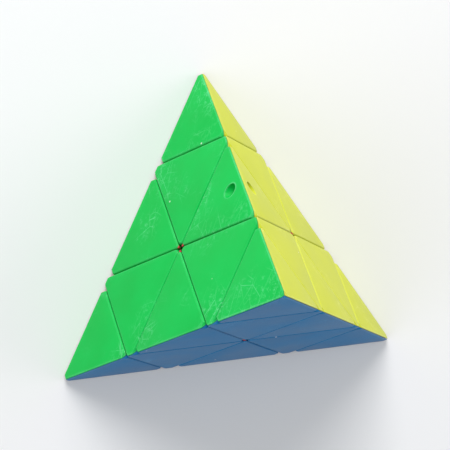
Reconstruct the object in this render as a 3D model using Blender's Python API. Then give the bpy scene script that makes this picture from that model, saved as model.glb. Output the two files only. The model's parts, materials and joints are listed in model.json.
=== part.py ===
"""Three-layer pyramid twisty puzzle, key-ring size, solved.

The puzzle is a regular tetrahedron with one corner up. It stands on its red face.
The origin is the centre of the tetrahedron, where the four turning axes cross, and +Z runs
through the top corner. The back corner points along +Y.

Every part repeats under the twelve rotations of the tetrahedron, so each kind of part is
modelled once, for the top corner, and then turned into its other places.
Shapes are worked out in millimetres and written to the scene in metres.
"""

import itertools
import math

import bmesh
import bpy
import numpy as np
from mathutils import Matrix, Vector

METRES_PER_MM = 0.001
TOUCHING = 1e-6  # points and planes closer than this meet
FLAT_WITHIN = math.radians(0.2)  # hull facets that turn less than this are one flat side
SMOOTH_WITHIN = math.radians(35)  # edges that turn less than this are shaded round

# The outside
EDGE = 45.0  # sharp edge of the whole tetrahedron
HEIGHT = EDGE * math.sqrt(2 / 3)
CORNER_RADIUS = 0.75 * HEIGHT  # centre to a sharp corner
FACE_DISTANCE = 0.25 * HEIGHT  # centre to a face
TIP_SHARE = 0.312  # of the height is a tip, a little under a third
TIP_CUT = CORNER_RADIUS - TIP_SHARE * HEIGHT  # height along a corner's axis of the cut under its tip
LAYER_CUT = CORNER_RADIUS - 2 * HEIGHT / 3  # and of the cut under its layer
HALF_GAP = 0.06  # each piece stops this far short of a turning cut
HALF_SEAM = 0.03  # each colour shell stops this far short of the glue line
ROUNDING = 0.2  # radius of a piece's edges
CORNER_ROUNDING = 0.45  # and of its corners
ROUNDING_STEPS = 3
MIDDLE_HOLE_RADIUS = 0.6  # of the hole in the middle of each face, where six pieces meet

# The inside, as radii from the centre
CORE_BALL = 4.6
FOOT_INNER = 4.9
FOOT_OUTER = 6.9
SHELL_INNER = 7.25
FOOT_CUT = 1.0  # like LAYER_CUT, for the feet
FOOT_GAP = 0.15

# The stem of an edge's foot, out along the line from the centre to the edge
STEM_FROM = 5.9
STEM_TO = 10.6
STEM_HALF_THICK = 0.6
STEM_HALF_WIDE = 2.2
STEM_FIT = 0.1

# The key-ring hole through the top-back edge
RING_HOLE_OUT = 13.9
RING_HOLE_RADIUS = 0.9

# Turned parts on each corner's axis: heights along the axis and radii
BOSS_RADIUS, BOSS_TOP = 1.9, 5.7
SCREW_HOLE_RADIUS, SCREW_HOLE_BOTTOM = 0.8, 1.9
SCREW_RADIUS, SCREW_BOTTOM = 0.7, 2.2
HEAD_RADIUS, HEAD_CROWN_RADIUS, HEAD_BOTTOM, HEAD_TOP = 1.6, 1.28, 12.4, 13.4
SLOT_LONG, SLOT_WIDE, SLOT_DEEP, CROSS_SLOT_DEEP = 2.0, 0.4, 0.5, 0.4
SPRING_RADIUS, SPRING_WIRE, SPRING_TURNS = 1.2, 0.18, 5
SPRING_SEAT = 0.27  # from the middle of the wire to the face it stands on
SPIGOT_RADIUS, HUB_BOTTOM = 2.3, 5.9
FLANGE_RADIUS, FLANGE_BOTTOM, FLANGE_TOP = 3.6, 7.4, 8.6
BARREL_RADIUS, HUB_TOP = 2.8, 15.8
HUB_BORE, HUB_LEDGE = 0.95, 9.0
CHAMBER_RADIUS = 1.9
GROOVE_RADIUS, GROOVE_BOTTOM, GROOVE_TOP = 2.15, 14.8, 15.4
LIP_RADIUS = 1.65
POST_BOTTOM, POST_NOSE = 14.5, 1.2
BULGE_RADIUS, BULGE_BOTTOM, BULGE_TOP = 1.85, 14.9, 15.2
NECK_RADIUS = 1.45
POST_RADIUS, POST_TOP = 1.8, 19.2
GLUE_FIT = 0.08  # clearance where a shell is glued over a turned part

ROUND_SIDES = 18
SPHERE_SIDES = 18
SPRING_POINTS_PER_TURN = 9
SPRING_WIRE_SIDES = 5

CORNERS = ("top", "back", "left", "right")
COLOUR_OPPOSITE = {"top": "red", "back": "blue", "left": "yellow", "right": "green"}
COLOURS = {
    "green": (0.0, 0.55, 0.09),
    "yellow": (0.85, 0.8, 0.02),
    "red": (0.6, 0.02, 0.03),
    "blue": (0.0, 0.2, 0.47),
    "black": (0.02, 0.02, 0.022),
    "steel": (0.55, 0.55, 0.56),
}
METALS = ("steel",)
METAL_ROUGHNESS, PLASTIC_ROUGHNESS = 0.25, 0.35


def corner_axes():
    """A unit vector from the centre to each corner."""
    down = -1 / 3
    out = math.sqrt(1 - down * down)
    axes = {"top": Vector((0, 0, 1))}
    for name, degrees in (("back", 90), ("left", 210), ("right", 330)):
        turn = math.radians(degrees)
        axes[name] = Vector((out * math.cos(turn), out * math.sin(turn), down))
    return axes


AXES = corner_axes()


def clear_scene():
    for thing in list(bpy.data.objects):
        bpy.data.objects.remove(thing, do_unlink=True)


def material(colour):
    """The plain finish of a part: a Principled material in its colour."""
    found = bpy.data.materials.get(colour)
    if found:
        return found
    made = bpy.data.materials.new(colour)
    made.use_nodes = True
    shader = made.node_tree.nodes["Principled BSDF"]
    shader.inputs["Base Color"].default_value = (*COLOURS[colour], 1)
    shader.inputs["Roughness"].default_value = METAL_ROUGHNESS if colour in METALS else PLASTIC_ROUGHNESS
    shader.inputs["Metallic"].default_value = 1.0 if colour in METALS else 0.0
    made.diffuse_color = (*COLOURS[colour], 1)
    return made


def object_of(bm, name="helper"):
    """A scene object that holds the shape, which is used up."""
    bmesh.ops.recalc_face_normals(bm, faces=bm.faces)
    mesh = bpy.data.meshes.new(name)
    bm.to_mesh(mesh)
    bm.free()
    thing = bpy.data.objects.new(name, mesh)
    bpy.context.scene.collection.objects.link(thing)
    return thing


def combined(first, others, operation):
    """The mesh that is left of the first shape after a Boolean with each of the others."""
    body = object_of(first)
    helpers = [object_of(other) for other in others]
    for helper in helpers:
        cut = body.modifiers.new("Cut", "BOOLEAN")
        cut.operation = operation
        cut.solver = "EXACT"
        cut.object = helper
    bpy.context.view_layer.update()
    graph = bpy.context.evaluated_depsgraph_get()
    result = bmesh.new()
    result.from_mesh(body.evaluated_get(graph).to_mesh())
    for thing in (body, *helpers):
        bpy.data.objects.remove(thing, do_unlink=True)
    return result


def unit_planes(planes):
    """The planes' normals, each made one unit long, and their distances to match."""
    lengths = np.array([np.linalg.norm(normal) for normal, _ in planes])
    normals = np.array([np.array(normal) for normal, _ in planes]) / lengths[:, None]
    return normals, np.array([distance for _, distance in planes]) / lengths


def corners_of(normals, distances):
    """The corners of the solid inside all the planes, as (point, numbers of the planes there)."""
    found = []
    for trio in itertools.combinations(range(len(normals)), 3):
        trio = list(trio)
        if abs(np.linalg.det(normals[trio])) < TOUCHING:
            continue
        point = np.linalg.solve(normals[trio], distances[trio])
        depth = distances - normals @ point
        known = any(np.linalg.norm(point - other) < TOUCHING for other, _ in found)
        if known or depth.min() < -TOUCHING:
            continue
        found.append((point, set(np.flatnonzero(depth < TOUCHING).tolist())))
    return found


def hull(points):
    """The convex solid around the points, with each flat side as one face."""
    bm = bmesh.new()
    verts = [bm.verts.new(point) for point in points]
    made = bmesh.ops.convex_hull(bm, input=verts)
    inner = [item for item in made["geom_interior"] if isinstance(item, bmesh.types.BMVert)]
    bmesh.ops.delete(bm, geom=inner, context="VERTS")
    bmesh.ops.dissolve_limit(bm, angle_limit=FLAT_WITHIN, verts=bm.verts, edges=bm.edges)
    return bm


def convex_solid(planes):
    """The solid of all points p with normal . p <= distance, for every (normal, distance)."""
    return hull([point for point, _ in corners_of(*unit_planes(planes))])


def ball_patch(centre, radius, normals):
    """Points on the part of a ball that faces between the given normals."""
    patch = []
    for mix in itertools.combinations_with_replacement(normals, ROUNDING_STEPS):
        way = sum(mix)
        patch.append(centre + radius * way / np.linalg.norm(way))
    return patch


def rounded_solid(planes):
    """The same solid, with lightly rounded edges and blunter corners."""
    normals, distances = unit_planes(planes)
    corners = []
    points = []
    for point, sides in corners_of(normals, distances):
        own = sorted(sides)
        inward = np.linalg.lstsq(normals[own], -np.ones(len(own)), rcond=None)[0]
        closing = normals @ inward + 1
        others = np.flatnonzero(closing > TOUCHING)
        room = (distances - normals @ point)[others] / closing[others]
        radius = min([CORNER_ROUNDING, *room])
        corners.append((point + ROUNDING * inward, sides, (radius - ROUNDING) * inward))
        points += ball_patch(point + radius * inward, radius, normals[own])
    for (start, sides, start_shift), (end, other_sides, end_shift) in itertools.combinations(corners, 2):
        shared = sorted(sides & other_sides)
        if len(shared) != 2:
            continue
        length = np.linalg.norm(end - start)
        along = (end - start) / length
        from_start = max(0.0, start_shift @ along)
        from_end = max(0.0, -end_shift @ along)
        if from_start + from_end < length:
            points += ball_patch(start + from_start * along, ROUNDING, normals[shared])
            points += ball_patch(end - from_end * along, ROUNDING, normals[shared])
    return hull(points)


def sphere(radius):
    """A ball whose lines of longitude lie clear of the shells' glue planes."""
    bm = bmesh.new()
    bmesh.ops.create_uvsphere(bm, u_segments=SPHERE_SIDES, v_segments=SPHERE_SIDES // 2, radius=radius)
    half_step = Matrix.Rotation(math.pi / SPHERE_SIDES, 4, "Z")
    bmesh.ops.transform(bm, matrix=half_step, verts=bm.verts)
    return bm


def turned(profile, bored=False):
    """A profile of (radius, height) points turned about the top corner's axis.

    A solid one runs from its bottom to its top and is capped. A bored one is a closed loop.
    """
    bm = bmesh.new()
    rings = []
    for radius, height in profile:
        ring = []
        for i in range(ROUND_SIDES):
            turn = 2 * math.pi * (i + 0.5) / ROUND_SIDES
            ring.append(bm.verts.new((radius * math.cos(turn), radius * math.sin(turn), height)))
        rings.append(ring)
    pairs = list(zip(rings, rings[1:]))
    if bored:
        pairs.append((rings[-1], rings[0]))
    else:
        bm.faces.new(rings[0][::-1])
        bm.faces.new(rings[-1])
    for low, high in pairs:
        for i in range(ROUND_SIDES):
            j = (i + 1) % ROUND_SIDES
            bm.faces.new((low[i], low[j], high[j], high[i]))
    return bm


def rod(radius, low, high):
    return turned([(radius, low), (radius, high)])


def box(size, centre, axes):
    """A box with its sides along three given unit vectors."""
    bm = bmesh.new()
    bmesh.ops.create_cube(bm, size=1)
    place = Matrix.Translation(centre) @ Matrix([[*axis] for axis in axes]).transposed().to_4x4()
    bmesh.ops.transform(bm, matrix=place @ Matrix.Diagonal((*size, 1)), verts=bm.verts)
    return bm


def nearer_face(corner, others):
    """The space nearer to the face opposite one corner than to those opposite the others."""
    planes = []
    for other in others:
        across = AXES[corner] - AXES[other]
        planes.append((across, -HALF_SEAM * across.length))
    for side in Matrix.Identity(3):
        planes += [(side, 2 * EDGE), (-side, 2 * EDGE)]
    return convex_solid(planes)


def faces_except(*corners):
    """The outer faces of the tetrahedron, leaving out those opposite the given corners."""
    return [(-AXES[name], FACE_DISTANCE) for name in CORNERS if name not in corners]


def above(corner, height):
    return (-AXES[corner], -height)


def below(corner, height):
    return (AXES[corner], height)


def clear_of_middle(face, *corners):
    """The plane that keeps a piece near the given corners clear of the hole in the middle of a face."""
    middle = sum((AXES[name] for name in corners), Vector())
    inward = -(middle - middle.dot(AXES[face]) * AXES[face]).normalized()
    return (inward, -MIDDLE_HOLE_RADIUS)


def tip_shell():
    """The top tip's yellow third."""
    body = rounded_solid([above("top", TIP_CUT + HALF_GAP), *faces_except("top")])
    socket = rod(POST_RADIUS + GLUE_FIT, TIP_CUT - 1, POST_TOP + 2 * GLUE_FIT)
    body = combined(body, [socket], "DIFFERENCE")
    return combined(body, [nearer_face("left", ("back", "right"))], "INTERSECT")


def centre_shell():
    """The top centre's yellow third."""
    planes = [above("top", LAYER_CUT + HALF_GAP), below("top", TIP_CUT - HALF_GAP), *faces_except("top")]
    planes += [below(name, LAYER_CUT - HALF_GAP) for name in CORNERS if name != "top"]
    planes += [clear_of_middle(name, "top") for name in CORNERS if name != "top"]
    body = rounded_solid(planes)
    hub_room = turned(
        [
            (FLANGE_RADIUS + GLUE_FIT, 0),
            (FLANGE_RADIUS + GLUE_FIT, FLANGE_TOP + GLUE_FIT),
            (BARREL_RADIUS + GLUE_FIT, FLANGE_TOP + GLUE_FIT),
            (BARREL_RADIUS + GLUE_FIT, TIP_CUT + 1),
        ]
    )
    body = combined(body, [sphere(SHELL_INNER), hub_room], "DIFFERENCE")
    return combined(body, [nearer_face("left", ("back", "right"))], "INTERSECT")


def edge_directions():
    """Out to the middle of the top-back edge, along that edge, and across it."""
    out = (AXES["top"] + AXES["back"]).normalized()
    along = (AXES["top"] - AXES["back"]).normalized()
    across = (AXES["right"] - AXES["left"]).normalized()
    return out, along, across


def stem(fit):
    """The stem of an edge's foot, or with a fit the socket for it."""
    out, along, across = edge_directions()
    top = STEM_TO + 2 * fit
    size = (top - STEM_FROM, 2 * (STEM_HALF_THICK + fit), 2 * (STEM_HALF_WIDE + fit))
    return box(size, out * (STEM_FROM + top) / 2, (out, along, across))


def edge_shell(with_ring_hole, colour_from):
    """Half of the top-back edge: the half on the face opposite a corner."""
    planes = [above("top", LAYER_CUT + HALF_GAP), above("back", LAYER_CUT + HALF_GAP)]
    planes += [clear_of_middle(name, "top", "back") for name in ("left", "right")]
    body = rounded_solid([*planes, *faces_except("top", "back")])
    cuts = [sphere(SHELL_INNER), stem(STEM_FIT)]
    if with_ring_hole:
        cuts.append(ring_hole())
    body = combined(body, cuts, "DIFFERENCE")
    other = {"left": "right", "right": "left"}[colour_from]
    return combined(body, [nearer_face(colour_from, (other,))], "INTERSECT")


def ring_hole():
    """The drill for the key-ring hole, across the ridge from one face to the other."""
    out, along, across = edge_directions()
    drill = rod(RING_HOLE_RADIUS, -EDGE / 4, EDGE / 4)
    place = Matrix.Translation(out * RING_HOLE_OUT) @ Matrix((out, along, across)).transposed().to_4x4()
    bmesh.ops.transform(drill, matrix=place, verts=drill.verts)
    return drill


def edge_foot():
    """The top-back edge's foot: a square of a hollow ball, and the stem that carries the shells."""
    planes = [above(name, FOOT_CUT + FOOT_GAP) for name in ("top", "back")]
    planes += [below(name, FOOT_CUT - FOOT_GAP) for name in ("right", "left")]
    out, _, _ = edge_directions()
    planes.append((out, 2 * FOOT_OUTER))
    plate = combined(convex_solid(planes), [sphere(FOOT_OUTER)], "INTERSECT")
    plate = combined(plate, [sphere(FOOT_INNER)], "DIFFERENCE")
    return combined(plate, [stem(0)], "UNION")


def hub():
    return turned(
        [
            (HUB_BORE, HUB_BOTTOM),
            (SPIGOT_RADIUS, HUB_BOTTOM),
            (SPIGOT_RADIUS, FLANGE_BOTTOM),
            (FLANGE_RADIUS, FLANGE_BOTTOM),
            (FLANGE_RADIUS, FLANGE_TOP),
            (BARREL_RADIUS, FLANGE_TOP),
            (BARREL_RADIUS, HUB_TOP),
            (LIP_RADIUS, HUB_TOP),
            (LIP_RADIUS, GROOVE_TOP),
            (GROOVE_RADIUS, GROOVE_TOP),
            (GROOVE_RADIUS, GROOVE_BOTTOM),
            (CHAMBER_RADIUS, GROOVE_BOTTOM),
            (CHAMBER_RADIUS, HUB_LEDGE),
            (HUB_BORE, HUB_LEDGE),
        ],
        bored=True,
    )


def tip_post():
    foot = TIP_CUT + HALF_GAP
    return turned(
        [
            (POST_NOSE, POST_BOTTOM),
            (BULGE_RADIUS, BULGE_BOTTOM),
            (BULGE_RADIUS, BULGE_TOP),
            (NECK_RADIUS, BULGE_TOP),
            (NECK_RADIUS, foot),
            (POST_RADIUS, foot),
            (POST_RADIUS, POST_TOP),
        ]
    )


def screw():
    """A pan-head screw with a cross slot."""
    edge = (HEAD_TOP + HEAD_BOTTOM) / 2
    body = turned(
        [
            (SCREW_RADIUS / 2, SCREW_BOTTOM),
            (SCREW_RADIUS, SCREW_BOTTOM + SCREW_RADIUS),
            (SCREW_RADIUS, HEAD_BOTTOM),
            (HEAD_RADIUS, HEAD_BOTTOM),
            (HEAD_RADIUS, edge),
            (HEAD_CROWN_RADIUS, HEAD_TOP),
        ]
    )
    for turn, deep in ((0, SLOT_DEEP), (math.pi / 2, CROSS_SLOT_DEEP)):
        axes = Matrix.Rotation(turn, 3, "Z").transposed()
        slot = box((SLOT_LONG, SLOT_WIDE, 2 * deep), Vector((0, 0, HEAD_TOP)), axes)
        body = combined(body, [slot], "DIFFERENCE")
    return body


def spring():
    """A coil of round wire between the hub's ledge and the screw's head."""
    low = HUB_LEDGE + SPRING_SEAT
    high = HEAD_BOTTOM - SPRING_SEAT
    count = SPRING_TURNS * SPRING_POINTS_PER_TURN
    bm = bmesh.new()
    rings = []
    for i in range(count + 1):
        turn = 2 * math.pi * i / SPRING_POINTS_PER_TURN
        out = Vector((math.cos(turn), math.sin(turn), 0))
        middle = out * SPRING_RADIUS + Vector((0, 0, low + (high - low) * i / count))
        ring = []
        for k in range(SPRING_WIRE_SIDES):
            round_wire = 2 * math.pi * k / SPRING_WIRE_SIDES
            offset = out * math.cos(round_wire) + Vector((0, 0, math.sin(round_wire)))
            ring.append(bm.verts.new(middle + offset * SPRING_WIRE))
        rings.append(ring)
    for low_ring, high_ring in zip(rings, rings[1:]):
        for k in range(SPRING_WIRE_SIDES):
            n = (k + 1) % SPRING_WIRE_SIDES
            bm.faces.new((low_ring[k], low_ring[n], high_ring[n], high_ring[k]))
    bm.faces.new(rings[0][::-1])
    bm.faces.new(rings[-1])
    return bm


def core():
    """The ball with a boss and a screw hole on each corner's axis."""
    bosses = []
    holes = []
    for name in CORNERS:
        for parts, shape in (
            (bosses, rod(BOSS_RADIUS, CORE_BALL / 2, BOSS_TOP)),
            (holes, rod(SCREW_HOLE_RADIUS, SCREW_HOLE_BOTTOM, BOSS_TOP + 1)),
        ):
            bmesh.ops.transform(shape, matrix=turn_onto(("top", name)), verts=shape.verts)
            parts.append(shape)
    return combined(combined(sphere(CORE_BALL), bosses, "UNION"), holes, "DIFFERENCE")


def turn_onto(*moves):
    """The rotation of the tetrahedron that takes each first corner to its second."""
    for order in itertools.permutations(CORNERS):
        goes_to = dict(zip(CORNERS, order))
        if any(goes_to[start] != end for start, end in moves):
            continue
        before = Matrix([AXES[name] for name in CORNERS[:3]]).transposed()
        after = Matrix([AXES[goes_to[name]] for name in CORNERS[:3]]).transposed()
        turn = after @ before.inverted()
        if turn.determinant() > 0:
            return turn.to_4x4()
    raise ValueError(f"no rotation does {moves}")


def mesh_of(bm, name, colour):
    """The finished mesh in metres, flat where it is flat and smooth where it is round."""
    bmesh.ops.transform(bm, matrix=Matrix.Diagonal((METRES_PER_MM,) * 3).to_4x4(), verts=bm.verts)
    bmesh.ops.recalc_face_normals(bm, faces=bm.faces)
    mesh = bpy.data.meshes.new(name)
    bm.to_mesh(mesh)
    bm.free()
    mesh.materials.append(material(colour))
    mesh.shade_smooth()
    mesh.set_sharp_from_angle(angle=SMOOTH_WITHIN)
    return mesh


def place(mesh, name, turn, colour=None):
    """A copy of a mesh as a named object, turned about the centre of the puzzle."""
    mesh = mesh.copy()
    mesh.name = name
    mesh.transform(turn)
    if colour:
        mesh.materials[0] = material(colour)
    thing = bpy.data.objects.new(name, mesh)
    bpy.context.scene.collection.objects.link(thing)
    return thing


def add_corner_parts():
    """For each corner: the shells of its tip and its centre, and the turned parts on its axis."""
    tip = mesh_of(tip_shell(), "tip_shell", "yellow")
    centre = mesh_of(centre_shell(), "centre_shell", "yellow")
    on_axis = [
        mesh_of(hub(), "hub", "black"),
        mesh_of(tip_post(), "tip_post", "black"),
        mesh_of(screw(), "screw", "steel"),
        mesh_of(spring(), "spring", "steel"),
    ]
    for corner in CORNERS:
        for face in CORNERS:
            if face == corner:
                continue
            colour = COLOUR_OPPOSITE[face]
            turn = turn_onto(("top", corner), ("left", face))
            place(tip, f"tip_{corner}_{colour}", turn, colour)
            place(centre, f"centre_{corner}_{colour}", turn, colour)
        for mesh in on_axis:
            place(mesh, f"{mesh.name}_{corner}", turn_onto(("top", corner)))


def add_edges():
    """For each pair of corners: two shells and their foot."""
    foot = mesh_of(edge_foot(), "edge_foot", "red")
    plain = mesh_of(edge_shell(False, "left"), "edge_shell", "yellow")
    for first, second in itertools.combinations(CORNERS, 2):
        name = f"{first}_{second}"
        for face in CORNERS:
            if face in (first, second):
                continue
            colour = COLOUR_OPPOSITE[face]
            if name == "top_back":
                shell, turn = mesh_of(edge_shell(True, face), "ring_shell", colour), Matrix()
            else:
                shell, turn = plain, turn_edge_onto(first, second, face)
            place(shell, f"edge_{name}_{colour}", turn, colour)
        place(foot, f"edge_foot_{name}", turn_edge_onto(first, second, None))


def turn_edge_onto(first, second, face):
    """The rotation that takes the top-back edge to another, and its yellow face to a given face."""
    face_move = [("left", face)] if face else []
    for ends in ((first, second), (second, first)):
        try:
            return turn_onto(*zip(("top", "back"), ends), *face_move)
        except ValueError:
            continue
    raise ValueError(f"no rotation puts an edge at {first}, {second}, {face}")


def main():
    clear_scene()
    place(mesh_of(core(), "core_shape", "black"), "core", Matrix())
    add_corner_parts()
    add_edges()


main()
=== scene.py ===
"""The looks of the key-ring pyramid puzzle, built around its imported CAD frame.

The 36 colour shells are remade here with finer rounding, in the places of their CAD nodes.
Shapes are worked out in millimetres, with the CAD's own numbers, and written in metres.
"""

import itertools
import json
import math

import bmesh
import bpy
import numpy as np
from mathutils import Matrix, Vector


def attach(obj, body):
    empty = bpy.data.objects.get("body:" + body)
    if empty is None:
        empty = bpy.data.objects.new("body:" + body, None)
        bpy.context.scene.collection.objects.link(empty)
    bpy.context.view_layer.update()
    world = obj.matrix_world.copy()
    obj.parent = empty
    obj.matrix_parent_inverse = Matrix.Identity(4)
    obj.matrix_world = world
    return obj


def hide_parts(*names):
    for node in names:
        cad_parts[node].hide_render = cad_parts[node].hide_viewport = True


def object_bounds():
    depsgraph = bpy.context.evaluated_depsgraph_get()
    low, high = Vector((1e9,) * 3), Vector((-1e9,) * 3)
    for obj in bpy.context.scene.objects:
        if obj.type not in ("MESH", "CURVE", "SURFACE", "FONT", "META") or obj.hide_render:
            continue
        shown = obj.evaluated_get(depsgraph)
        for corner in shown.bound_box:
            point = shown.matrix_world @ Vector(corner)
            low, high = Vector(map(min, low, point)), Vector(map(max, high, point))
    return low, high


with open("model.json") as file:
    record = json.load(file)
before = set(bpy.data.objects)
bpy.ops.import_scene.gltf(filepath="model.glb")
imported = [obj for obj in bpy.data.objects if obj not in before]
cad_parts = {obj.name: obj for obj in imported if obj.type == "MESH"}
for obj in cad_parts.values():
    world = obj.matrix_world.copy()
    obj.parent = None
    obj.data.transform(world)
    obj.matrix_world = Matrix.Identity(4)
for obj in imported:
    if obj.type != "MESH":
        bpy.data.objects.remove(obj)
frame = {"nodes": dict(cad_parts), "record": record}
cad_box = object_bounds()

MM = 0.001
TOUCHING = 1e-6  # points and planes closer than this meet
FLAT_WITHIN = math.radians(0.2)  # hull facets that turn less than this are one flat side
SMOOTH_WITHIN = math.radians(30)  # edges that turn less than this are shaded round

# The CAD's dimensions, in millimetres
EDGE = 45.0
HEIGHT = EDGE * math.sqrt(2 / 3)
CORNER_RADIUS = 0.75 * HEIGHT
FACE_DISTANCE = 0.25 * HEIGHT
TIP_SHARE = 0.312
TIP_CUT = CORNER_RADIUS - TIP_SHARE * HEIGHT
LAYER_CUT = CORNER_RADIUS - 2 * HEIGHT / 3
HALF_GAP = 0.06
HALF_SEAM = 0.03
ROUNDING = 0.2  # of a piece's edges
CORNER_ROUNDING = 0.45  # and of its corners
MIDDLE_HOLE_RADIUS = 0.6
SHELL_INNER = 7.25
STEM_FROM, STEM_TO, STEM_HALF_THICK, STEM_HALF_WIDE, STEM_FIT = 5.9, 10.6, 0.6, 2.2, 0.1
RING_HOLE_OUT, RING_HOLE_RADIUS = 13.9, 0.9
FLANGE_RADIUS, FLANGE_TOP, BARREL_RADIUS = 3.6, 8.6, 2.8
POST_RADIUS, POST_TOP = 1.8, 19.2
GLUE_FIT = 0.08

# Finer than the CAD
ROUNDING_STEPS = 6
ROUND_SIDES = 48

# The red ends of the edge pieces, in the holes in the middle of the faces
NOSE_FROM_MIDDLE = 0.1
NOSE_BELOW_FACE = 0.14

CORNERS = ("top", "back", "left", "right")
COLOUR_OPPOSITE = {"top": "red", "back": "blue", "left": "yellow", "right": "green"}


# ---------------------------------------------------------------- shapes


def corner_axes():
    down = -1 / 3
    out = math.sqrt(1 - down * down)
    axes = {"top": Vector((0, 0, 1))}
    for name, degrees in (("back", 90), ("left", 210), ("right", 330)):
        turn = math.radians(degrees)
        axes[name] = Vector((out * math.cos(turn), out * math.sin(turn), down))
    return axes


AXES = corner_axes()


def object_of(bm, name="helper"):
    bmesh.ops.recalc_face_normals(bm, faces=bm.faces)
    mesh = bpy.data.meshes.new(name)
    bm.to_mesh(mesh)
    bm.free()
    thing = bpy.data.objects.new(name, mesh)
    bpy.context.scene.collection.objects.link(thing)
    return thing


def combined(first, others, operation):
    body = object_of(first)
    helpers = [object_of(other) for other in others]
    for helper in helpers:
        cut = body.modifiers.new("Cut", "BOOLEAN")
        cut.operation = operation
        cut.solver = "EXACT"
        cut.object = helper
    bpy.context.view_layer.update()
    graph = bpy.context.evaluated_depsgraph_get()
    result = bmesh.new()
    result.from_mesh(body.evaluated_get(graph).to_mesh())
    for thing in (body, *helpers):
        bpy.data.objects.remove(thing, do_unlink=True)
    return result


def unit_planes(planes):
    lengths = np.array([np.linalg.norm(normal) for normal, _ in planes])
    normals = np.array([np.array(normal) for normal, _ in planes]) / lengths[:, None]
    return normals, np.array([distance for _, distance in planes]) / lengths


def corners_of(normals, distances):
    """The corners of the solid inside all the planes, as (point, numbers of the planes there)."""
    found = []
    for trio in itertools.combinations(range(len(normals)), 3):
        trio = list(trio)
        if abs(np.linalg.det(normals[trio])) < TOUCHING:
            continue
        point = np.linalg.solve(normals[trio], distances[trio])
        depth = distances - normals @ point
        known = any(np.linalg.norm(point - other) < TOUCHING for other, _ in found)
        if known or depth.min() < -TOUCHING:
            continue
        found.append((point, set(np.flatnonzero(depth < TOUCHING).tolist())))
    return found


def hull(points):
    bm = bmesh.new()
    verts = [bm.verts.new(point) for point in points]
    made = bmesh.ops.convex_hull(bm, input=verts)
    inner = [item for item in made["geom_interior"] if isinstance(item, bmesh.types.BMVert)]
    bmesh.ops.delete(bm, geom=inner, context="VERTS")
    bmesh.ops.dissolve_limit(bm, angle_limit=FLAT_WITHIN, verts=bm.verts, edges=bm.edges)
    return bm


def convex_solid(planes):
    return hull([point for point, _ in corners_of(*unit_planes(planes))])


def ball_patch(centre, radius, normals):
    """The part of a ball that faces between the given normals."""
    patch = []
    for mix in itertools.combinations_with_replacement(normals, ROUNDING_STEPS):
        way = sum(mix)
        patch.append(centre + radius * way / np.linalg.norm(way))
    return patch


def rounded_solid(planes):
    """A convex solid with lightly rounded edges and blunter corners."""
    normals, distances = unit_planes(planes)
    corners = []
    points = []
    for point, sides in corners_of(normals, distances):
        own = sorted(sides)
        inward = np.linalg.lstsq(normals[own], -np.ones(len(own)), rcond=None)[0]
        closing = normals @ inward + 1
        others = np.flatnonzero(closing > TOUCHING)
        room = (distances - normals @ point)[others] / closing[others]
        radius = min([CORNER_ROUNDING, *room])
        corners.append((point + ROUNDING * inward, sides, (radius - ROUNDING) * inward))
        points += ball_patch(point + radius * inward, radius, normals[own])
    for one, other in itertools.combinations(corners, 2):
        start, sides, start_shift = one
        end, other_sides, end_shift = other
        shared = sorted(sides & other_sides)
        if len(shared) != 2:
            continue
        length = np.linalg.norm(end - start)
        along = (end - start) / length
        from_start = max(0.0, start_shift @ along)
        from_end = max(0.0, -end_shift @ along)
        if from_start + from_end < length:
            points += ball_patch(start + from_start * along, ROUNDING, normals[shared])
            points += ball_patch(end - from_end * along, ROUNDING, normals[shared])
    return hull(points)


def ball(radius):
    bm = bmesh.new()
    across, along = ROUND_SIDES, ROUND_SIDES // 2
    bmesh.ops.create_uvsphere(bm, u_segments=across, v_segments=along, radius=radius)
    half_step = Matrix.Rotation(math.pi / ROUND_SIDES, 4, "Z")
    bmesh.ops.transform(bm, matrix=half_step, verts=bm.verts)
    return bm


def turned(profile):
    bm = bmesh.new()
    rings = []
    for radius, height in profile:
        ring = []
        for i in range(ROUND_SIDES):
            turn = 2 * math.pi * (i + 0.5) / ROUND_SIDES
            ring.append(bm.verts.new((radius * math.cos(turn), radius * math.sin(turn), height)))
        rings.append(ring)
    bm.faces.new(rings[0][::-1])
    bm.faces.new(rings[-1])
    for low, high in zip(rings, rings[1:]):
        for i in range(ROUND_SIDES):
            j = (i + 1) % ROUND_SIDES
            bm.faces.new((low[i], low[j], high[j], high[i]))
    return bm


def nearer_face(corner, others):
    planes = []
    for other in others:
        across = AXES[corner] - AXES[other]
        planes.append((across, -HALF_SEAM * across.length))
    for side in Matrix.Identity(3):
        planes += [(side, 2 * EDGE), (-side, 2 * EDGE)]
    return convex_solid(planes)


def faces_except(*corners):
    return [(-AXES[name], FACE_DISTANCE) for name in CORNERS if name not in corners]


def above(corner, height):
    return (-AXES[corner], -height)


def below(corner, height):
    return (AXES[corner], height)


def clear_of_middle(face, *corners):
    """The plane that keeps a piece near some corners clear of the hole in the middle of a face."""
    middle = sum((AXES[name] for name in corners), Vector())
    inward = -(middle - middle.dot(AXES[face]) * AXES[face]).normalized()
    return (inward, -MIDDLE_HOLE_RADIUS)


def tip_shell():
    """The top tip's third on the face opposite the left corner."""
    body = rounded_solid([above("top", TIP_CUT + HALF_GAP), *faces_except("top")])
    radius = POST_RADIUS + GLUE_FIT
    socket = turned([(radius, TIP_CUT - 1), (radius, POST_TOP + 2 * GLUE_FIT)])
    body = combined(body, [socket], "DIFFERENCE")
    return combined(body, [nearer_face("left", ("back", "right"))], "INTERSECT")


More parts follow.
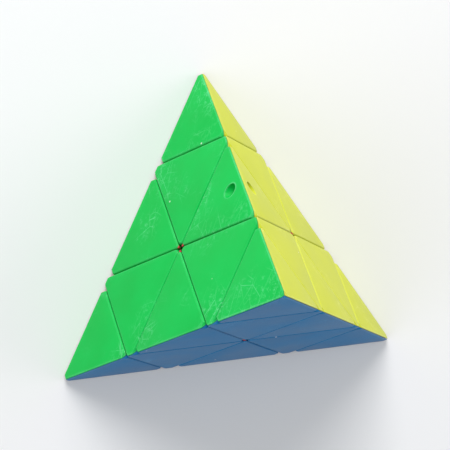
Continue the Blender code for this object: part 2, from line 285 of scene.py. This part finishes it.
def centre_shell():
    """The top centre's third on the same face."""
    planes = [above("top", LAYER_CUT + HALF_GAP), below("top", TIP_CUT - HALF_GAP)]
    planes += faces_except("top")
    planes += [below(name, LAYER_CUT - HALF_GAP) for name in CORNERS if name != "top"]
    planes += [clear_of_middle(name, "top") for name in CORNERS if name != "top"]
    hub_room = turned(
        [
            (FLANGE_RADIUS + GLUE_FIT, 0),
            (FLANGE_RADIUS + GLUE_FIT, FLANGE_TOP + GLUE_FIT),
            (BARREL_RADIUS + GLUE_FIT, FLANGE_TOP + GLUE_FIT),
            (BARREL_RADIUS + GLUE_FIT, TIP_CUT + 1),
        ]
    )
    body = combined(rounded_solid(planes), [ball(SHELL_INNER), hub_room], "DIFFERENCE")
    return combined(body, [nearer_face("left", ("back", "right"))], "INTERSECT")


def edge_shell(with_ring_hole, colour_from):
    """Half of the top-back edge: the half on the face opposite a corner."""
    out = (AXES["top"] + AXES["back"]).normalized()
    along = (AXES["top"] - AXES["back"]).normalized()
    across = (AXES["right"] - AXES["left"]).normalized()
    turn = Matrix((out, along, across)).transposed().to_4x4()
    planes = [above("top", LAYER_CUT + HALF_GAP), above("back", LAYER_CUT + HALF_GAP)]
    planes += [clear_of_middle(name, "top", "back") for name in ("left", "right")]
    socket = bmesh.new()
    bmesh.ops.create_cube(socket, size=1)
    top = STEM_TO + 2 * STEM_FIT
    size = (top - STEM_FROM, 2 * (STEM_HALF_THICK + STEM_FIT), 2 * (STEM_HALF_WIDE + STEM_FIT), 1)
    place = Matrix.Translation(out * (STEM_FROM + top) / 2) @ turn @ Matrix.Diagonal(size)
    bmesh.ops.transform(socket, matrix=place, verts=socket.verts)
    cuts = [ball(SHELL_INNER), socket]
    if with_ring_hole:
        drill = turned([(RING_HOLE_RADIUS, -EDGE / 4), (RING_HOLE_RADIUS, EDGE / 4)])
        drill_place = Matrix.Translation(out * RING_HOLE_OUT) @ turn
        bmesh.ops.transform(drill, matrix=drill_place, verts=drill.verts)
        cuts.append(drill)
    body = combined(rounded_solid([*planes, *faces_except("top", "back")]), cuts, "DIFFERENCE")
    other = {"left": "right", "right": "left"}[colour_from]
    return combined(body, [nearer_face(colour_from, (other,))], "INTERSECT")


def body_nose():
    """The end of an edge piece's red body, which shows in the hole in the middle of a face."""
    inward, _ = clear_of_middle("left", "top", "back")
    planes = [above("top", LAYER_CUT + HALF_GAP), above("back", LAYER_CUT + HALF_GAP)]
    planes += [(inward, -NOSE_FROM_MIDDLE), (-inward, MIDDLE_HOLE_RADIUS)]
    planes.append((-AXES["left"], FACE_DISTANCE - NOSE_BELOW_FACE))
    planes.append((AXES["left"], -SHELL_INNER - NOSE_BELOW_FACE))
    return convex_solid(planes)


def turn_onto(*moves):
    """The rotation of the tetrahedron that takes each first corner to its second, if any does."""
    for order in itertools.permutations(CORNERS):
        goes_to = dict(zip(CORNERS, order))
        if any(goes_to[start] != end for start, end in moves):
            continue
        before = Matrix([AXES[name] for name in CORNERS[:3]]).transposed()
        after = Matrix([AXES[goes_to[name]] for name in CORNERS[:3]]).transposed()
        turn = after @ before.inverted()
        if turn.determinant() > 0:
            return turn.to_4x4()
    return None


def mesh_of(bm, name):
    bmesh.ops.transform(bm, matrix=Matrix.Diagonal((MM,) * 3).to_4x4(), verts=bm.verts)
    bmesh.ops.recalc_face_normals(bm, faces=bm.faces)
    mesh = bpy.data.meshes.new(name)
    bm.to_mesh(mesh)
    bm.free()
    mesh.shade_smooth()
    mesh.set_sharp_from_angle(angle=SMOOTH_WITHIN)
    return mesh


# ---------------------------------------------------------------- materials

# The moulded plastic's patterns, in features to a metre
CLOUDS, PEEL, GRAIN = 140, 900, 2600
WEAR_PATCHES, SPECKLE, DUST = 95, 1300, 520.0
HAIRLINES_ONE_WAY, HAIRLINES_OTHER_WAY = 420, 300
# A dust cell is filled above this chance, and its speck fades out between these radii, in cells
DUST_CHANCE, DUST_OUTER, DUST_INNER = 0.93, 0.09, 0.05
DUST_COLOUR = (0.9, 0.9, 0.88, 1)
# How much of the pale or dust colour each kind of wear lets through; on the edges the pale colour
# is partly rubbed wear and partly a painted highlight
EDGE_WEAR_AND_HIGHLIGHT, SCUFF_WEAR, SCRATCH_WEAR, DUST_COVER = 0.30, 0.42, 0.42, 0.65
# Width of the edges that are mixed towards the pale colour, as rubbed wear and as a painted
# highlight
RUBBED_AND_HIGHLIT_EDGE_RADIUS = 0.00035
# Roughness of the plastic, and what wear adds to it or polishes away
SMOOTHEST, ROUGHEST = 0.34, 0.44
SCUFF_ROUGHNESS, SCRATCH_ROUGHNESS, EDGE_POLISH = 0.16, 0.14, 0.08
PLASTIC_IOR, PLASTIC_SPECULAR = 1.5, 0.14
# Heights of the relief, in metres
PEEL_RELIEF, GRAIN_RELIEF, SCRATCH_RELIEF = 0.00003, 0.000008, 0.000012


class Nodes:
    """A short way to write a node tree: each call makes a node and returns its first output."""

    def __init__(self, name):
        self.material = bpy.data.materials.new(name)
        self.material.use_nodes = True
        self.tree = self.material.node_tree
        self.shader = self.tree.nodes["Principled BSDF"]

    def make(self, kind, inputs=(), output=0, **settings):
        node = self.tree.nodes.new(kind)
        for key, value in settings.items():
            setattr(node, key, value)
        for key, value in dict(inputs).items():
            self.put(node.inputs[key], value)
        return node.outputs[output]

    def put(self, socket, value):
        if isinstance(value, bpy.types.NodeSocket):
            self.tree.links.new(value, socket)
        else:
            socket.default_value = value

    def math(self, operation, *values):
        return self.make("ShaderNodeMath", enumerate(values), operation=operation)

    def ramp(self, value, low, high, to_low=0.0, to_high=1.0):
        inputs = {"Value": value, "From Min": low, "From Max": high}
        inputs |= {"To Min": to_low, "To Max": to_high}
        return self.make("ShaderNodeMapRange", inputs, interpolation_type="SMOOTHSTEP")

    def mix(self, factor, first, second):
        inputs = {0: factor, 6: first, 7: second}
        return self.make("ShaderNodeMix", inputs, output=2, data_type="RGBA")

    def noise(self, where, scale, detail=2.0, roughness=0.5):
        inputs = {"Vector": where, "Scale": scale, "Detail": detail, "Roughness": roughness}
        return self.make("ShaderNodeTexNoise", inputs)

    def moved(self, where, rotation=(0, 0, 0), scale=(1, 1, 1)):
        inputs = {"Vector": where, "Rotation": rotation, "Scale": scale}
        return self.make("ShaderNodeMapping", inputs)

    def bump(self, height, distance, strength=1.0, normal=None):
        inputs = {"Height": height, "Distance": distance, "Strength": strength}
        if normal is not None:
            inputs["Normal"] = normal
        return self.make("ShaderNodeBump", inputs)


def place_on_piece(n):
    """Object coordinates, shifted for each piece, so that no pattern runs on into the next."""
    where = n.make("ShaderNodeTexCoord", output="Object")
    seed = n.make("ShaderNodeObjectInfo", output="Random")
    along_y = n.math("MULTIPLY", seed, 3.7)
    along_z = n.math("MULTIPLY", seed, 7.3)
    shift = n.make("ShaderNodeCombineXYZ", {0: seed, 1: along_y, 2: along_z})
    return n.make("ShaderNodeVectorMath", {0: where, 1: shift}, operation="ADD")


def hairlines(n, where, turn, scale, thin):
    """Fine straight scratches that run one way, here and there."""
    lie = n.moved(where, rotation=turn, scale=(1.0, 0.06, 1.0))
    cells = {"Vector": lie, "Scale": scale}
    lines = n.make("ShaderNodeTexVoronoi", cells, feature="DISTANCE_TO_EDGE")
    return n.ramp(lines, 0.0, thin, 1.0, 0.0)


def rubbed_and_highlit_edges(n, radius):
    """1 where the surface turns over an edge, 0 on the flats."""
    rounded = n.make("ShaderNodeBevel", {"Radius": radius}, samples=6)
    flat = n.make("ShaderNodeNewGeometry", output="True Normal")
    both = {0: rounded, 1: flat}
    same = n.make("ShaderNodeVectorMath", both, output="Value", operation="DOT_PRODUCT")
    return n.ramp(same, 0.995, 0.93)


def plastic(name, colour, pale, deep):
    """Semi-gloss moulded plastic: faint orange peel, haze, scuffs, dust, and edges made paler,
    partly as rubbed wear and partly as a painted highlight.
    """
    n = Nodes(name)
    where = place_on_piece(n)
    cloud = n.noise(where, CLOUDS, 4.0, 0.55)
    grain = n.noise(where, GRAIN, 3.0, 0.6)
    peel = n.noise(where, PEEL, 2.0, 0.45)
    patches = n.ramp(n.noise(where, WEAR_PATCHES, 3.0, 0.6), 0.47, 0.66)
    one_way = hairlines(n, where, (0.4, 0.3, 0.9), HAIRLINES_ONE_WAY, 0.012)
    other_way = hairlines(n, where, (1.1, -0.5, 2.3), HAIRLINES_OTHER_WAY, 0.009)
    scratches = n.math("MULTIPLY", n.math("MAXIMUM", one_way, other_way), patches)
    rub = n.ramp(n.noise(where, SPECKLE, 5.0, 0.8), 0.5, 0.7)
    scuffs = n.math("MULTIPLY", rub, patches)
    cells = {"Vector": where, "Scale": DUST}
    specks = n.make("ShaderNodeTexVoronoi", cells, feature="F1")
    cell_colour = n.make("ShaderNodeTexVoronoi", cells, output="Color", feature="F1")
    chance = n.make("ShaderNodeSeparateColor", {0: cell_colour})
    picked = n.math("GREATER_THAN", chance, DUST_CHANCE)
    dust = n.math("MULTIPLY", n.ramp(specks, DUST_OUTER, DUST_INNER), picked)
    uneven = n.ramp(cloud, 0.3, 0.65, 0.35, 1.0)
    # Mask of the edges, uneven along them: partly rubbed wear, partly a painted highlight
    edges = n.math("MULTIPLY", rubbed_and_highlit_edges(n, RUBBED_AND_HIGHLIT_EDGE_RADIUS), uneven)

    tint = n.mix(n.ramp(cloud, 0.3, 0.7), deep, colour)
    # Edges mixed towards the pale colour: partly rubbed wear, partly a painted highlight along the
    # rims
    tint = n.mix(n.math("MULTIPLY", edges, EDGE_WEAR_AND_HIGHLIGHT), tint, pale)
    tint = n.mix(n.math("MULTIPLY", scuffs, SCUFF_WEAR), tint, pale)
    tint = n.mix(n.math("MULTIPLY", scratches, SCRATCH_WEAR), tint, pale)
    tint = n.mix(n.math("MULTIPLY", dust, DUST_COVER), tint, DUST_COLOUR)
    n.put(n.shader.inputs["Base Color"], tint)

    gloss = n.ramp(cloud, 0.25, 0.75, SMOOTHEST, ROUGHEST)
    gloss = n.math("ADD", gloss, n.math("MULTIPLY", scuffs, SCUFF_ROUGHNESS))
    gloss = n.math("ADD", gloss, n.math("MULTIPLY", scratches, SCRATCH_ROUGHNESS))
    gloss = n.math("SUBTRACT", gloss, n.math("MULTIPLY", edges, EDGE_POLISH))
    n.put(n.shader.inputs["Roughness"], gloss)
    n.shader.inputs["IOR"].default_value = PLASTIC_IOR
    n.shader.inputs["Specular IOR Level"].default_value = PLASTIC_SPECULAR

    raised = n.bump(peel, PEEL_RELIEF, 0.35)
    raised = n.bump(grain, GRAIN_RELIEF, 0.5, raised)
    raised = n.bump(n.math("MULTIPLY", scratches, -1.0), SCRATCH_RELIEF, 0.6, raised)
    n.put(n.shader.inputs["Normal"], raised)
    return n.material


def matte_plastic(name, colour, pale):
    """Spark-eroded, slightly greasy plastic of the hidden parts."""
    n = Nodes(name)
    where = place_on_piece(n)
    cloud = n.noise(where, 300, 3.0, 0.6)
    spark = n.noise(where, 5200, 3.0, 0.7)
    n.put(n.shader.inputs["Base Color"], n.mix(n.ramp(cloud, 0.35, 0.75, 0.0, 0.8), colour, pale))
    grease = n.noise(where, 700, 3.0, 0.6)
    n.put(n.shader.inputs["Roughness"], n.ramp(grease, 0.3, 0.7, 0.42, 0.62))
    n.put(n.shader.inputs["Normal"], n.bump(spark, 0.00002, 0.5))
    return n.material


def plated_steel(name):
    """Zinc-plated steel with a drawn grain and slight tarnish."""
    n = Nodes(name)
    where = place_on_piece(n)
    tarnish = n.noise(where, 500, 4.0, 0.65)
    drawn = n.noise(n.moved(where, scale=(1, 1, 0.08)), 6000, 3.0, 0.6)
    tint = n.mix(n.ramp(tarnish, 0.4, 0.75), (0.63, 0.63, 0.64, 1), (0.45, 0.44, 0.42, 1))
    n.put(n.shader.inputs["Base Color"], tint)
    n.put(n.shader.inputs["Roughness"], n.ramp(drawn, 0.3, 0.7, 0.22, 0.42))
    n.put(n.shader.inputs["Normal"], n.bump(drawn, 0.00001, 0.4))
    n.shader.inputs["Metallic"].default_value = 1.0
    return n.material


def floor_material():
    n = Nodes("floor_paper")
    where = n.make("ShaderNodeTexCoord", output="Object")
    fibre = n.noise(where, 900, 4.0, 0.6)
    tint = n.mix(n.noise(where, 9, 3.0), (0.86, 0.865, 0.87, 1), (0.90, 0.90, 0.90, 1))
    n.put(n.shader.inputs["Base Color"], tint)
    n.put(n.shader.inputs["Roughness"], n.ramp(fibre, 0.3, 0.7, 0.55, 0.7))
    n.put(n.shader.inputs["Normal"], n.bump(fibre, 0.00002, 0.2))
    return n.material


# Each colour as moulded, where it is worn pale or carries the painted edge highlight, and where it
# is deeper
PLASTICS = {
    "green": ((0.001, 0.485, 0.072, 1), (0.24, 0.80, 0.44, 1), (0.0005, 0.44, 0.06, 1)),
    "yellow": ((0.58, 0.62, 0.03, 1), (0.86, 0.87, 0.42, 1), (0.53, 0.575, 0.018, 1)),
    "red": ((0.52, 0.012, 0.022, 1), (0.75, 0.22, 0.22, 1), (0.45, 0.008, 0.016, 1)),
    "blue": ((0.001, 0.19, 0.46, 1), (0.20, 0.46, 0.72, 1), (0.001, 0.16, 0.40, 1)),
}
MATERIALS = {name: plastic(f"moulded_{name}", *colours) for name, colours in PLASTICS.items()}
BLACK, WORN_BLACK = (0.012, 0.012, 0.014, 1), (0.03, 0.03, 0.033, 1)
MATERIALS["black"] = matte_plastic("mechanism_black", BLACK, WORN_BLACK)
MATERIALS["steel"] = plated_steel("plated_steel")


# ---------------------------------------------------------------- pieces


def body_with(node):
    groups = frame["record"]["behaviour"]["bodies"]
    return next(body for body, nodes in groups.items() if node in nodes)


def add_piece(mesh, name, turn, node, colour):
    mesh = mesh.copy()
    mesh.name = name
    mesh.transform(turn)
    mesh.materials.clear()
    mesh.materials.append(MATERIALS[colour])
    piece = bpy.data.objects.new(name, mesh)
    bpy.context.scene.collection.objects.link(piece)
    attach(piece, body_with(node))
    return piece


def add_shell(mesh, node, turn):
    """A finer copy of a colour shell, in the place of its CAD node."""
    shell = add_piece(mesh, f"{node}_shell", turn, node, node.rsplit("_", 1)[1])
    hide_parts(node)


def add_corner_shells():
    tip = mesh_of(tip_shell(), "tip")
    centre = mesh_of(centre_shell(), "centre")
    for corner in CORNERS:
        for face in CORNERS:
            if face == corner:
                continue
            turn = turn_onto(("top", corner), ("left", face))
            add_shell(tip, f"tip_{corner}_{COLOUR_OPPOSITE[face]}", turn)
            add_shell(centre, f"centre_{corner}_{COLOUR_OPPOSITE[face]}", turn)


def add_edge_shells():
    plain = mesh_of(edge_shell(False, "left"), "edge")
    nose = mesh_of(body_nose(), "nose")
    for first, second in itertools.combinations(CORNERS, 2):
        for face in CORNERS:
            if face in (first, second):
                continue
            node = f"edge_{first}_{second}_{COLOUR_OPPOSITE[face]}"
            ways = [
                turn_onto(("top", first), ("back", second), ("left", face)),
                turn_onto(("top", second), ("back", first), ("left", face)),
            ]
            turn = next(way for way in ways if way)
            add_piece(nose, f"{node}_nose", turn, node, "red")
            if (first, second) == ("top", "back"):
                add_shell(mesh_of(edge_shell(True, face), "ring_edge"), node, Matrix())
            else:
                add_shell(plain, node, turn)


def paint_hidden_parts():
    """The parts inside keep their CAD shape and get their own finish."""
    slots = {part["node"]: part["material_slot"] for part in frame["record"]["subparts"]}
    for node, thing in frame["nodes"].items():
        thing.data.materials.clear()
        thing.data.materials.append(MATERIALS[slots[node]])


paint_hidden_parts()
add_corner_shells()
add_edge_shells()


# ---------------------------------------------------------------- stage, light and camera

FLOOR_RADIUS, FLOOR_SIDES = 1.6, 96
FLOOR_CLEARANCE = 0.00003
WORLD_COLOUR, WORLD_STRENGTH = (0.95, 0.97, 1.0, 1), 0.40

floor_mesh = bpy.data.meshes.new("floor")
floor_shape = bmesh.new()
bmesh.ops.create_circle(floor_shape, cap_ends=True, segments=FLOOR_SIDES, radius=FLOOR_RADIUS)
floor_shape.to_mesh(floor_mesh)
floor_shape.free()
floor = bpy.data.objects.new("floor", floor_mesh)
floor.location.z = cad_box[0].z - FLOOR_CLEARANCE
floor_mesh.materials.append(floor_material())
bpy.context.scene.collection.objects.link(floor)

world = bpy.data.worlds.new("studio")
bpy.context.scene.world = world
world.use_nodes = True
background = world.node_tree.nodes["Background"]
background.inputs["Color"].default_value = WORLD_COLOUR
background.inputs["Strength"].default_value = WORLD_STRENGTH


def soft_light(name, direction, distance, size, watts):
    """A round soft box that shines on the puzzle from a direction."""
    light = bpy.data.lights.new(name, "AREA")
    light.shape = "DISK"
    light.size = size
    light.energy = watts
    lamp = bpy.data.objects.new(name, light)
    way = Vector(direction).normalized()
    lamp.location = way * distance
    lamp.rotation_mode = "QUATERNION"
    lamp.rotation_quaternion = way.to_track_quat("Z", "Y")
    lamp.visible_camera = False
    bpy.context.scene.collection.objects.link(lamp)


soft_light("key", (-0.1, 0.80, 0.62), 0.55, 0.32, 2.25)
soft_light("fill", (-0.75, -0.15, 0.65), 0.60, 0.45, 0.7)
soft_light("side", (0.85, 0.05, 0.5), 0.60, 0.40, 0.7)
soft_light("rim", (0.08, 0.98, 0.16), 0.50, 0.16, 0.6)

# The camera's right and up directions. It stands back from the origin, square to both, and turns
# to the middle of the view, which is given in millimetres along right and up.
CAMERA_RIGHT = Vector((0.9698, -0.0900, 0.2267))
CAMERA_UP = Vector((0.1169, 0.9872, -0.1080))
VIEW_MIDDLE = (-1.2, 6.0)
CAMERA_DISTANCE = 0.40
VIEW_WIDTH = 0.058
SENSOR_WIDTH = 36.0
CLIP_START, CLIP_END = 0.01, 10.0

camera_data = bpy.data.cameras.new("camera")
camera_data.sensor_width = SENSOR_WIDTH
camera_data.lens = SENSOR_WIDTH * CAMERA_DISTANCE / VIEW_WIDTH
camera = bpy.data.objects.new("camera", camera_data)
view_right = CAMERA_RIGHT.normalized()
view_back = view_right.cross(CAMERA_UP).normalized()
view_up = view_back.cross(view_right)
view_target = (view_right * VIEW_MIDDLE[0] + view_up * VIEW_MIDDLE[1]) * MM
camera.location = view_back * CAMERA_DISTANCE
back = (camera.location - view_target).normalized()
right = view_up.cross(back).normalized()
camera.rotation_mode = "QUATERNION"
camera.rotation_quaternion = Matrix((right, back.cross(right), back)).transposed().to_quaternion()
camera_data.clip_start, camera_data.clip_end = CLIP_START, CLIP_END
bpy.context.scene.collection.objects.link(camera)
bpy.context.scene.camera = camera
bpy.context.scene.view_settings.view_transform = "Standard"
